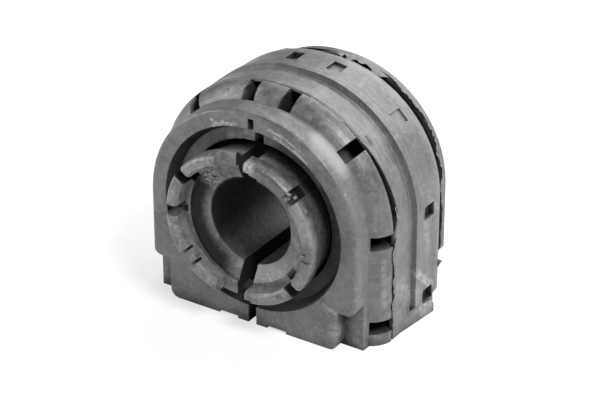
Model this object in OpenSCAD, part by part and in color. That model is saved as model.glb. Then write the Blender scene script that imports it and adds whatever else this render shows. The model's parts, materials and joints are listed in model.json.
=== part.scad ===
// Split rubber bush for a stabiliser bar, standing on its flat base.
// The bore runs along Y, the front face looks to -Y, the base lies on z = 0.
// Left and right are named as seen from the front.

/* [Bush] */
// Length of the rubber body along the bore, mm
body_length = 45.3; // [36:0.1:60]
// Height of the bore axis above the base, mm
axis_height = 31.1; // [26:0.1:40]
// Radius of the front lip, mm
lip_radius = 30.6; // [28:0.1:36]
// Radius of the rear lip, mm
rear_lip_radius = 30.9; // [28:0.1:36]
// Thickness of the front lip, mm
lip_thickness = 4.1; // [2:0.1:6]
// Thickness of the rear lip, mm
rear_lip_thickness = 3.2; // [2:0.1:6]
// How far each half of the lips stands away from the middle plane, mm
lip_spread = 1.28; // [0:0.01:3]
// Radius of the fine round on the outer edge of the lips, mm
lip_edge = 0.9; // [0.2:0.1:1.5]
// Radius of the rounded lower corners, mm
corner_radius = 2.6; // [1:0.1:4]

/* [Shoulder] */
// Radius of the valley behind the lip, mm
valley_radius = 30.7; // [28:0.1:33]
// Distance from the end face to the foot of the flank, mm
flank_start = 6.9; // [5:0.1:9]
// Radius of the shoulder rim next to the band, mm
rim_radius = 34.2; // [32:0.1:36]
// How fast the flank rises from its foot, smaller is steeper
flank_bulge = 0.75; // [0.5:0.05:1]
// Radius at the bottom of the gap in front of the rear lip, mm
rear_gap_radius = 27; // [26:0.1:30]
// Width of the gap in front of the rear lip, mm
rear_gap_width = 2.5; // [1:0.1:4]

/* [Band] */
// Distance from the front face to the band, mm
band_start = 13; // [11:0.1:16]
// Distance from the front face to where the band rounds off, mm
band_end = 33.6; // [30:0.1:38]
// Radius of the band, mm
band_radius = 33.6; // [33:0.1:37]
// How much higher the front edge of the band stands, mm
band_taper = 0.3; // [0:0.05:1]
// Size of the bevel on the front edge of the band, mm
band_edge = 0.4; // [0.2:0.1:1]
// How far each half of the band stands away from the middle plane, mm
band_spread = 1.8; // [0:0.1:3]
// Distance from the front face to the bottom of the groove, mm
groove_place = 23; // [20:0.1:26]
// Width of the groove's long front slope, mm
groove_front = 2.2; // [1:0.1:3]
// Width of the groove's steep rear side, mm
groove_rear = 0.9; // [0.4:0.1:2]
// Depth of the groove, mm
groove_depth = 1.7; // [0.5:0.1:2.5]
// Distance from the front face to the fine step behind the groove, mm
step_place = 26; // [25:0.1:28]
// Height of the fine step, mm
step_height = 0.35; // [0.1:0.05:0.6]
// Radius at the foot of the band's round rear flank, mm
rear_flank_radius = 30; // [28:0.1:32]
// Height of the plain foot strip below the groove, mm
foot_height = 4; // [2:0.1:8]
// Length of the spread foot along the bore, mm
foot_spread_length = 16.5; // [8:0.1:20]
// Angle at which the spread foot runs outward to the rear, degrees
foot_spread_angle = 6.5; // [0:0.1:10]
// Greatest width of the opening beside the band's edge on the right, mm
edge_gap_width = 1.9; // [0.5:0.1:3]
// Height above the base at which this opening is widest, mm
edge_gap_low = 37.8; // [34:0.1:44]
// Height over which it closes again below, mm
edge_gap_close = 6; // [2:0.1:10]
// Height above the base at which this opening starts, mm
edge_gap_high = 56; // [48:0.1:60]
// Radius at the bottom of this opening, mm
edge_gap_radius = 31.6; // [30:0.1:33]
// Width of the parting gap between shoulder and band, mm
parting_width = 0.8; // [0.3:0.1:1.5]
// Depth of the parting gap, mm
parting_depth = 1.1; // [0.3:0.1:2]

/* [Windows] */
// Width of each window round the bush, mm
window_width = 3.9; // [2:0.1:6]
// Radius of the window floors, mm
window_floor = 26.6; // [25:0.1:31]
// Length over which each front window falls to its floor, mm
window_ramp = 2.6; // [1:0.1:4]
// How far each front window runs in under the band, mm
window_reach = 4; // [1:0.1:6]
// Angle of the inner windows from the top, degrees
window_inner = 8; // [5:0.5:15]
// Angle of the right outer windows from the top, degrees
window_right = 45; // [30:0.5:60]
// Angle of the left outer windows from the top, degrees
window_left = 42.5; // [30:0.5:60]
// Height of the lowest windows above the base, mm
window_low = 5.2; // [4:0.1:10]
// Distance from the front face to the rear windows, mm
rear_window_start = 28.1; // [27:0.1:30]
// Length of the rear windows along the bore, mm
rear_window_length = 4.9; // [3:0.1:6]
// Depth of the rear windows, mm
rear_window_depth = 1.7; // [0.5:0.1:3]
// Depth of the rear window that is nearly closed by skin, mm
skinned_window_depth = 0.5; // [0.2:0.1:1]
// Depth of the rear window that is half filled, mm
filled_window_depth = 0.9; // [0.3:0.1:2]

/* [Recess and slits] */
// Radius of the end recess at the face, mm
recess_mouth = 26; // [24:0.1:28]
// Radius of the end recess at its floor, mm
recess_floor = 24.4; // [22:0.1:27]
// Depth of the end recess, mm
recess_depth = 4; // [2:0.1:6]
// Radius of the ring gap round the sleeve, mm
ring_gap_radius = 20.9; // [19.5:0.1:23]
// Depth of the ring gap from the end face, mm
ring_gap_depth = 10; // [6:0.1:14]
// Width of the slit through the base, mm
base_slit = 2.4; // [1:0.1:4]
// Width of the top slit next to the sleeve, mm
top_slit_wide = 2.8; // [1:0.1:4]
// Radius reached by the wide part of the top slit, mm
top_slit_wide_radius = 23.6; // [21:0.1:26]
// Width of the narrow top slit in the wall, mm
top_slit_narrow = 1.9; // [1:0.1:3]
// Radius reached by the narrow top slit, mm
top_slit_radius = 29.2; // [26:0.1:29.8]
// Rubber left between the narrow top slit and the gap behind the band, mm
top_slit_wall = 3; // [1:0.1:8]

/* [Lower corners and base] */
// Half the width of the end faces below the lips, mm
foot_half_width = 26.3; // [22:0.1:30]
// Height of the front corner notches, mm
notch_height = 11.7; // [8:0.1:16]
// Height of the rear corner notches, mm
rear_notch_height = 10.4; // [8:0.1:16]
// Distance from the middle to each shallow channel under the base, mm
channel_start = 4.6; // [3:0.1:8]
// Width of each shallow channel, mm
channel_width = 6; // [3:0.1:9]
// Depth of each shallow channel, mm
channel_depth = 0.7; // [0.3:0.1:1.5]

/* [Sleeve] */
// Radius of the bore for the bar, mm
bore_radius = 12.2; // [10:0.05:14]
// Half the gap between the two sleeve halves, mm
sleeve_spread = 2.1; // [0.5:0.1:3]
// How far the sleeve sits below the middle of the lips, mm
sleeve_drop = 0.3; // [0:0.05:1]
// How far the rims stand out of the end faces, mm
rim_out = 6.9; // [4:0.1:9]
// Outer radius of the rims, mm
rim_outer = 20.7; // [19:0.1:22]
// Inner radius of the rims, mm
rim_inner = 17.1; // [15:0.1:18]
// Length of the rim along the bore, mm
rim_length = 4.5; // [3:0.1:6]
// Radius of the round on the outer edge of the rims, mm
rim_edge = 1.4; // [0.2:0.1:2]
// Depth of the collar inside the rim, mm
collar_depth = 4.4; // [2:0.1:6]
// Outer radius of the sleeve neck, mm
neck_radius = 19; // [18:0.1:20]
// Radius of the lead-in at the collar face, mm
lead_radius = 16.4; // [12.5:0.1:17]
// Depth of the lead-in, mm
lead_depth = 2.3; // [0.5:0.1:4]
// Width of the slots in the rim, mm
slot_width = 3.2; // [2:0.1:5]
// Depth of the slots in the rim, mm
slot_depth = 7.5; // [3:0.1:9]
// Depth of the slot that is nearly closed by skin, mm
skinned_slot_depth = 0.8; // [0.2:0.1:1]
// Depth of the stepped rim ends of the left half, mm
end_step_depth = 3.4; // [1:0.1:4]
// Width of the stepped rim ends of the left half, mm
end_step_width = 4.6; // [2:0.1:7]
// Depth of the stepped ends below the inside of the rim, mm
end_step_floor = 1.4; // [0.5:0.1:3]
// Width of the small keys at the rim ends of the right half, mm
key_width = 1.9; // [1:0.1:4]
// Thickness cut from the rim by the upper key, mm
upper_key_depth = 1; // [0.5:0.1:2]
// Thickness cut from the rim by the lower key, mm
lower_key_depth = 1.4; // [0.5:0.1:2]
// Width of the cracks beside the closed slot, mm
crack_width = 0.7; // [0.3:0.1:1]
// Depth of the cracks beside the closed slot, mm
crack_depth = 3; // [1:0.1:4]

/* [Hidden] */
$fn = 96;
over = 0.01;
far = 60;
quarter_turn = 90;
edge_steps = 4;
curve_steps = 8;
middle = body_length / 2;
lip_front = body_length - rear_lip_thickness;
flank_rise = rim_radius - valley_radius;
parting_start = band_start - parting_width;
flank_length = parting_start - flank_start;
valley_start = lip_thickness + 0.6 * (flank_start - lip_thickness);
rear_flank_end = lip_front - rear_gap_width;
window_start = flank_start - 0.2;
window_roof = rim_radius - parting_depth;
window_mid = axis_height - 0.8;
rim_front = -rim_out;
collar_face = rim_front + collar_depth;
crack_shift = (slot_width + crack_width) / 2;

// Angle from the top and depth of each rear window, left side then right side
rear_windows = [
    [-window_left, rear_window_depth],
    [-window_inner, rear_window_depth],
    [window_inner, filled_window_depth],
    [window_right, skinned_window_depth]
];

// Angle above the middle and depth of each rim slot of the two halves
left_slots = [[36, slot_depth], [0, slot_depth], [-43, skinned_slot_depth]];
right_slots = [[45.5, slot_depth], [-4, skinned_slot_depth], [-40, slot_depth]];

// Angle of the left slot that is closed by a block with a crack on each side
cracked_slot = -43;

// Lays a shape whose axis is Z along the bore, at the height of the lips' middle.
module along_bore() {
    translate([0, -middle, axis_height])
        mirror([0, 0, 1])
            rotate([-quarter_turn, 0, 0])
                children();
}

// Stands a profile, drawn as radius against length, up from the given height.
module stand(shift, bottom, height) {
    translate([shift, -middle, bottom])
        linear_extrude(height = height)
            children();
}

// Lays a profile across the middle, between the two halves.
module bridge(spread) {
    translate([spread, -middle, axis_height])
        rotate([0, -quarter_turn, 0])
            linear_extrude(height = 2 * spread)
                children();
}

// Sweeps a profile, radius against length, round the top and down both sides.
module arch(spread, bottom) {
    for (side = [0, 1])
        mirror([side, 0, 0]) {
            translate([spread, 0, 0])
                along_bore()
                    rotate_extrude(angle = quarter_turn)
                        children();
            stand(spread, bottom, axis_height - bottom)
                children();
        }
    bridge(spread)
        children();
    translate([-spread, -middle, bottom])
        cube([2 * spread, body_length, axis_height - bottom]);
}

// Points of a rounded edge about a centre, from one angle to another.
function round_points(x, y, r, from, to) = [
    for (i = [0:edge_steps])
        let (angle = from + (to - from) * i / edge_steps)
            [x + r * cos(angle), y + r * sin(angle)]
];

// Points of the flank: steep at its foot and round towards the rim.
function flank_points() = [
    for (i = [0:curve_steps])
        let (t = i / curve_steps)
            [valley_radius + flank_rise * pow(sin(quarter_turn * t), flank_bulge), flank_start + flank_length * t]
];

// Points of the band's rear flank: a quarter of an ellipse down to the gap.
function rear_flank_points() = [
    for (i = [0:curve_steps])
        let (angle = quarter_turn * i / curve_steps)
            [
                rear_flank_radius + (band_radius - rear_flank_radius) * cos(angle),
                band_end + (rear_flank_end - band_end) * sin(angle)
            ]
];

// Lips, valleys and shoulder in one outline.
module shoulder_profile() {
    polygon(concat(
        [[0, 0]],
        round_points(lip_radius - lip_edge, lip_edge, lip_edge, -quarter_turn, 0),
        [[lip_radius, lip_thickness], [valley_radius, valley_start]],
        flank_points(),
        [
            [window_roof, parting_start + over],
            [window_roof, band_start + over],
            [rear_gap_radius, band_start + over],
            [rear_gap_radius, lip_front],
            [rear_lip_radius - lip_edge, lip_front]
        ],
        round_points(rear_lip_radius - lip_edge, lip_front + lip_edge, lip_edge, -quarter_turn, 0),
        round_points(rear_lip_radius - lip_edge, body_length - lip_edge, lip_edge, 0, quarter_turn),
        [[0, body_length]]
    ));
}

// Points of the groove: a long slope from the front, then a steep rear side.
function groove_points() = [
    for (i = [-curve_steps:curve_steps])
        let (
            t = i / curve_steps,
            reach = t < 0 ? groove_front : groove_rear,
            fall = t < 0 ? pow(cos(quarter_turn * t), 1.5) : pow(cos(quarter_turn * t), 0.7)
        )
            [band_radius + step_height - groove_depth * fall, groove_place + reach * t]
];

// The band with its groove, the fine step behind it and the rounded rear flank.
module band_profile() {
    step_start = groove_place - groove_front;
    difference() {
        polygon(concat(
            [
                [0, band_start],
                [band_radius + band_taper - band_edge, band_start],
                [band_radius + band_taper, band_start + band_edge],
                [band_radius, step_start - step_height],
                [band_radius + step_height, step_start],
                [band_radius + step_height, step_place],
                [band_radius, step_place + step_height / 2]
            ],
            rear_flank_points(),
            [[0, rear_flank_end]]
        ));
        polygon(concat(
            [[far, groove_place - groove_front]],
            groove_points(),
            [[far, groove_place + groove_rear]]
        ));
    }
}

// The foot strip closes the groove just above the base.
module foot_strip() {
    reach = band_radius + band_spread;
    translate([-reach, band_start - middle, 0])
        cube([2 * reach, band_end - band_start, foot_height]);
}

// The foot of the band spreads outward towards the rear, just above the base.
module spread_foot() {
    upright = 0.6 * foot_height;
    root = 0.8 * band_radius;
    for (side = [0, 1])
        mirror([side, 0, 0])
            translate([band_radius + band_spread - 0.2, band_start + 2 - middle, 0])
                rotate([0, 0, -foot_spread_angle])
                    translate([0, foot_spread_length, 0])
                        rotate([quarter_turn, 0, 0])
                            linear_extrude(height = foot_spread_length)
                                polygon([
                                    [-root, 0],
                                    [0, 0],
                                    [0, upright],
                                    [upright - foot_height, foot_height],
                                    [-root, foot_height]
                                ]);
}

// A round hole pulled apart by the spread of the two halves.
module wide_hole(r1, r2, start, length, spread) {
    translate([0, start, 0]) {
        for (side = [-1, 1])
            translate([side * spread, 0, 0])
                along_bore()
                    cylinder(h = length, r1 = r1, r2 = r2);
        bridge(spread)
            polygon([[-r1, 0], [r1, 0], [r2, length], [-r2, length]]);
    }
}

// Recess and ring gap of the front end.
module end_recess() {
    wide_hole(recess_mouth, recess_floor, 0, recess_depth, lip_spread);
    wide_hole(ring_gap_radius, ring_gap_radius, 0, ring_gap_depth, lip_spread);
}

// One slit in the middle plane, between two heights and as long as given.
module slit(width, low, high, length) {
    translate([-width / 2, -middle - over, low])
        cube([width, length + over, high - low]);
}

// Slits: open through the base, closed at the top where the rubber bends.
module slits() {
    through = body_length + over;
    slit(base_slit, -over, axis_height, through);
    slit(top_slit_wide, axis_height, axis_height + top_slit_wide_radius, through);
    slit(top_slit_narrow, axis_height, axis_height + top_slit_radius, rear_flank_end - top_slit_wall);
}

// A pocket cut from outside, between two radii and along part of the bore.
module pocket(floor_radius, top_radius, start, length) {
    translate([-window_width / 2, start - middle, floor_radius])
        cube([window_width, length, top_radius - floor_radius]);
}

// One front window: it falls from the flank to its floor and ends blind under the band.
module front_window() {
    ramp_end = window_start + window_ramp;
    window_end = band_start + window_reach;
    translate([window_width / 2, -middle, 0])
        rotate([0, -quarter_turn, 0])
            linear_extrude(height = window_width)
                polygon([
                    [far, window_start],
                    [valley_radius - lip_edge, window_start],
                    [window_floor, ramp_end],
                    [window_floor, window_end],
                    [window_roof, window_end],
                    [window_roof, band_start - over],
                    [far, band_start - over]
                ]);
}

// One rear window, a shallow pocket in the band.
module rear_window(depth) {
    pocket(band_radius - depth, far, rear_window_start, rear_window_length);
}

// Places a cut on the round top, at an angle from the top.
module on_top(angle, spread) {
    mirror([angle < 0 ? 1 : 0, 0, 0])
        translate([spread, 0, axis_height])
            rotate([0, abs(angle), 0])
                children();
}

// Places a cut on the straight side, at a height above the base.
module on_side(side, height, spread) {
    mirror([side, 0, 0])
        translate([spread, 0, height])
            rotate([0, quarter_turn, 0])
                children();
}

module windows() {
    for (angle = [-window_left, -window_inner, window_inner, window_right])
        on_top(angle, lip_spread)
            front_window();
    for (entry = rear_windows)
        on_top(entry[0], band_spread)
            rear_window(entry[1]);
    for (side = [0, 1], height = [window_mid, window_low]) {
        on_side(side, height, lip_spread)
            front_window();
        on_side(side, height, band_spread)
            rear_window(rear_window_depth);
    }
}

// Removes a square corner outside a quarter round along the bore.
module corner_round(x, z, r, start, length) {
    translate([x - r, start - middle - over, z])
        difference() {
            translate([0, 0, -over])
                cube([r + over, length + 2 * over, r + over]);
            translate([0, -over, r])
                rotate([-quarter_turn, 0, 0])
                    cylinder(h = length + 4 * over, r = r);
        }
}

// One corner notch under a lip, with rounded lower edges.
module corner_notch(outer, height, start, thickness) {
    translate([foot_half_width, start - middle - over, -over])
        cube([far, thickness + 2 * over, height + over]);
    corner_round(foot_half_width, 0, corner_radius, start, thickness);
    corner_round(outer + lip_spread, height, corner_radius, start, thickness);
}

module corner_cuts() {
    for (side = [0, 1])
        mirror([side, 0, 0]) {
            corner_notch(lip_radius, notch_height, 0, lip_thickness);
            corner_notch(rear_lip_radius, rear_notch_height, lip_front, rear_lip_thickness);
        }
}

// The opening where the band's front edge on the right stands back, widest at its lower end.
module edge_gap() {
    difference() {
        translate([edge_gap_radius / 2, band_start - middle, edge_gap_low])
            rotate([quarter_turn, 0, quarter_turn])
                linear_extrude(height = far)
                    polygon([
                        [-parting_width, -edge_gap_close],
                        [0, -edge_gap_close],
                        [edge_gap_width, 0],
                        [0, edge_gap_high - edge_gap_low],
                        [-parting_width, edge_gap_high - edge_gap_low]
                    ]);
        translate([lip_spread, 0, 0])
            along_bore()
                cylinder(h = body_length, r = edge_gap_radius);
    }
}

// Two shallow channels along the underside.
module base_channels() {
    for (side = [0, 1])
        mirror([side, 0, 0])
            translate([channel_start, -middle - over, -over])
                cube([channel_width, body_length + 2 * over, channel_depth + over]);
}

// The space taken by the two sleeve halves and the gap between them.
module sleeve_seat() {
    translate([0, 0, -sleeve_drop])
        wide_hole(neck_radius, neck_radius, -over, body_length + 2 * over, sleeve_spread);
}

module body() {
    color("#3a3a3c")
        difference() {
            union() {
                arch(lip_spread, 0)
                    shoulder_profile();
                arch(band_spread, foot_height)
                    band_profile();
                foot_strip();
                spread_foot();
            }
            end_recess();
            mirror([0, 1, 0])
                end_recess();
            sleeve_seat();
            slits();
            windows();
            edge_gap();
            corner_cuts();
            base_channels();
        }
}

// Half of the sleeve profile: rim, collar and neck of the front end.
module sleeve_profile() {
    core = bore_radius - sleeve_spread - 1;
    polygon(concat(
        [
            [core, collar_face],
            [rim_inner, collar_face],
            [rim_inner, rim_front + rim_edge / 2],
            [rim_inner + rim_edge / 2, rim_front]
        ],
        round_points(rim_outer - rim_edge, rim_front + rim_edge, rim_edge, -quarter_turn, 0),
        [
            [rim_outer, rim_front + rim_length],
            [neck_radius, rim_front + rim_length + rim_edge],
            [neck_radius, middle],
            [core, middle]
        ]
    ));
}

// A cut through the front rim at an angle above the middle, shifted along the rim.
module rim_cut(angle, width, depth, shift) {
    translate([sleeve_spread, 0, axis_height])
        rotate([0, -angle, 0])
            translate([rim_inner - 1, rim_front - middle - over, shift - width / 2])
                cube([rim_outer - rim_inner + 2, depth + over, width]);
}

// Bore for the bar with its conical mouth in the front collar.
module bar_bore() {
    along_bore() {
        translate([0, 0, rim_front])
            cylinder(h = middle - rim_front + over, r = bore_radius);
        translate([0, 0, collar_face - over])
            cylinder(h = lead_depth, r1 = lead_radius, r2 = bore_radius);
    }
}

// Front quarter of the right half, before its rim is notched.
module half_sleeve_front() {
    translate([sleeve_spread, 0, 0])
        along_bore()
            rotate([0, 0, -quarter_turn])
                rotate_extrude(angle = 2 * quarter_turn)
                    sleeve_profile();
}

// Stepped ends of the rim next to the slits.
module end_steps() {
    for (up = [0, 1])
        translate([0, rim_front - middle - over, axis_height])
            mirror([0, 0, up])
                translate([0, 0, rim_inner - end_step_floor])
                    cube([sleeve_spread + end_step_width, end_step_depth + over, far]);
}

// Small keys at the rim ends: one on the inside at the top, one on the outside below.
module end_keys() {
    translate([0, rim_front - middle - over, axis_height + rim_inner - 1])
        cube([sleeve_spread + key_width, slot_depth, upper_key_depth + 1]);
    translate([0, rim_front - middle - over, axis_height - rim_outer + lower_key_depth - far])
        cube([sleeve_spread + key_width, slot_depth, far]);
}

// Two cracks, one on each side of the slot that is closed by a block.
module slot_cracks() {
    for (shift = [-crack_shift, crack_shift])
        rim_cut(cracked_slot, crack_width, crack_depth, shift);
}

// A half sleeve on the right hand side, its two ends alike.
module half_sleeve(slots, stepped) {
    translate([0, 0, -sleeve_drop])
        for (back = [0, 1])
            mirror([0, back, 0])
                difference() {
                    half_sleeve_front();
                    bar_bore();
                    for (entry = slots)
                        rim_cut(entry[0], slot_width, entry[1], 0);
                    if (stepped) {
                        end_steps();
                        slot_cracks();
                    } else {
                        end_keys();
                    }
                }
}

module sleeve_left() {
    color("#6a6a6c")
        mirror([1, 0, 0])
            half_sleeve(left_slots, true);
}

module sleeve_right() {
    color("#6a6a6c")
        half_sleeve(right_slots, false);
}

body();
sleeve_left();
sleeve_right();
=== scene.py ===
"""Dresses the split stabiliser bar bush: rubber and sleeve finishes, mould flash, torn skins and crumbs.

Places are in millimetres in the frame of the part: x to the right as seen from the front, y along the bore
from front to rear, z up from the flat base. Angles round the bush are in degrees from the top.
"""

import functools
import json
import logging
import math
from dataclasses import dataclass, field
from enum import Enum
from typing import Any, Iterable, Sequence

import bmesh
import bpy
import numpy as np
from mathutils import Matrix

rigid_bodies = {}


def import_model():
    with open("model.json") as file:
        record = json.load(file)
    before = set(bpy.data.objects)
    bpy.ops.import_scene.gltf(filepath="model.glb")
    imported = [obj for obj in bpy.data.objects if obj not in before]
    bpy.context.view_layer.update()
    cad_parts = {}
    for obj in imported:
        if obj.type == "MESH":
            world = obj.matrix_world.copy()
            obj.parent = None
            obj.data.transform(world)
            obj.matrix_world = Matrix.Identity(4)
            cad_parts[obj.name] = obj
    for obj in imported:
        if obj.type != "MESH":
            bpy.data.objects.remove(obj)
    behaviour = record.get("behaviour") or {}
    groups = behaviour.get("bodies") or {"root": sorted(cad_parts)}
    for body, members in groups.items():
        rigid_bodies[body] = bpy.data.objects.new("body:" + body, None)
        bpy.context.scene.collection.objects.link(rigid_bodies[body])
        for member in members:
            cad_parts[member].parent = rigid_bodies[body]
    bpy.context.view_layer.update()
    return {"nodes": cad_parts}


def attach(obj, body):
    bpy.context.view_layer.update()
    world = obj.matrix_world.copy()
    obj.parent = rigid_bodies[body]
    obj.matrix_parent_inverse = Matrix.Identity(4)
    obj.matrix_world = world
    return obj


MM = 0.001  # a millimetre in metres
BODY = "root"
AXIS = 31.1  # height of the lips' middle
SPREAD = 1.28  # half the flat on top of the lips
FRONT = -22.65  # place of the front face
HALF_SPLIT = 2.1  # half the split between the sleeve halves
SLEEVE_DROP = 0.3  # how far the sleeve's middle lies below the lips' middle
WHITE = (1.0, 1.0, 1.0, 1.0)
LOG = logging.getLogger("bush")

Colour = tuple[float, float, float]
Point = tuple[float, float, float]
Settings = dict[str, Any]
Inputs = dict[Any, Any]


class Node(Enum):
    """The solids that come from the frame."""

    BODY = "body"
    LEFT = "sleeve_left"
    RIGHT = "sleeve_right"


class Slot(Enum):
    """The material slots of the part's record."""

    RUBBER = "rubber"
    SLEEVE = "sleeve"


class Maths(Enum):
    """The Math node operations that the wires use."""

    ADD = "ADD"
    SUBTRACT = "SUBTRACT"
    MULTIPLY = "MULTIPLY"
    POWER = "POWER"
    ABSOLUTE = "ABSOLUTE"
    MAXIMUM = "MAXIMUM"
    MINIMUM = "MINIMUM"
    ANGLE = "ARCTAN2"


class VectorMaths(Enum):
    """The Vector Math node operations that the surfaces use."""

    SUBTRACT = "SUBTRACT"
    MULTIPLY = "MULTIPLY"
    SCALE = "SCALE"
    DISTANCE = "DISTANCE"
    DOT = "DOT_PRODUCT"


# Shader wires


class Wire:
    """A value socket that can be used in Python sums, each of which adds its Math node."""

    def __init__(self, graph: "Graph", socket: Any) -> None:
        """Wraps one output socket of a graph."""
        self.graph = graph
        self.socket = socket

    def sum_with(self, operation: Maths, first: Any, second: Any) -> "Wire":
        """Adds a Math node on two wires or numbers."""
        return self.graph.wire("ShaderNodeMath", 0, {"operation": operation.value}, {0: first, 1: second})

    def __add__(self, other: Any) -> "Wire":
        """This value plus another."""
        return self.sum_with(Maths.ADD, self, other)

    def __radd__(self, other: Any) -> "Wire":
        """Another value plus this one."""
        return self.sum_with(Maths.ADD, other, self)

    def __sub__(self, other: Any) -> "Wire":
        """This value less another."""
        return self.sum_with(Maths.SUBTRACT, self, other)

    def __rsub__(self, other: Any) -> "Wire":
        """Another value less this one."""
        return self.sum_with(Maths.SUBTRACT, other, self)

    def __mul__(self, other: Any) -> "Wire":
        """This value times another."""
        return self.sum_with(Maths.MULTIPLY, self, other)

    def __rmul__(self, other: Any) -> "Wire":
        """Another value times this one."""
        return self.sum_with(Maths.MULTIPLY, other, self)

    def __pow__(self, other: Any) -> "Wire":
        """This value raised to a power."""
        return self.sum_with(Maths.POWER, self, other)

    def __abs__(self) -> "Wire":
        """The size of this value, without its sign."""
        return self.sum_with(Maths.ABSOLUTE, self, 0.0)

    def at_most(self, other: Any) -> "Wire":
        """The smaller of this value and another."""
        return self.sum_with(Maths.MINIMUM, self, other)

    def at_least(self, other: Any) -> "Wire":
        """The larger of this value and another."""
        return self.sum_with(Maths.MAXIMUM, self, other)

    def between(self, low: float, high: float) -> "Wire":
        """A smooth rise t*t*(3-2t) from 0 to 1 as this value goes from low to high; low may be larger."""
        settings = {"interpolation_type": "SMOOTHSTEP", "clamp": True}
        return self.graph.wire("ShaderNodeMapRange", 0, settings, {0: self, 1: low, 2: high, 3: 0.0, 4: 1.0})


def strongest(masks: Iterable[Wire]) -> Wire:
    """The largest of several masks at each place."""
    return functools.reduce(Wire.at_least, masks)


class Graph:
    """The node tree of one material or of the world."""

    def __init__(self, tree: bpy.types.NodeTree) -> None:
        """Starts from an empty tree."""
        self.tree = tree
        self.tree.nodes.clear()

    def node(self, kind: str, settings: Settings | None = None, inputs: Inputs | None = None) -> Any:
        """Adds one node of any type.

        Args:
            kind: Blender's name of the node type.
            settings: Properties of the node, set before its sockets.
            inputs: Values or wires by socket name or number.

        Returns:
            The new node.
        """
        node = self.tree.nodes.new(kind)
        for key, value in (settings or {}).items():
            setattr(node, key, value)
        for key, value in (inputs or {}).items():
            if isinstance(value, Wire):
                self.tree.links.new(value.socket, node.inputs[key])
            else:
                node.inputs[key].default_value = value
        return node

    def wire(
        self, kind: str, output: Any, settings: Settings | None = None, inputs: Inputs | None = None
    ) -> Wire:
        """Adds one node and wraps one of its outputs."""
        return Wire(self, self.node(kind, settings, inputs).outputs[output])

    def mix(self, factor: Any, first: Any, second: Any) -> Wire:
        """Mixes two colours: the first at factor 0, the second at factor 1."""
        colours = [value if isinstance(value, Wire) else (*value, 1.0) for value in (first, second)]
        return self.wire("ShaderNodeMix", 2, {"data_type": "RGBA"}, {0: factor, 6: colours[0], 7: colours[1]})

    def layered(self, ground: Wire, layers: Iterable[tuple[Wire, Colour]]) -> Wire:
        """Lays colours over a ground, each through its own mask, from the lowest layer up."""
        return functools.reduce(lambda under, layer: self.mix(layer[0], under, layer[1]), layers, ground)

    def seen(self) -> Wire:
        """1 for camera and transmission rays, 0 for the rays that light the bush."""
        path = self.node("ShaderNodeLightPath")
        return strongest(Wire(self, path.outputs[ray]) for ray in ("Is Camera Ray", "Is Transmission Ray"))


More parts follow.
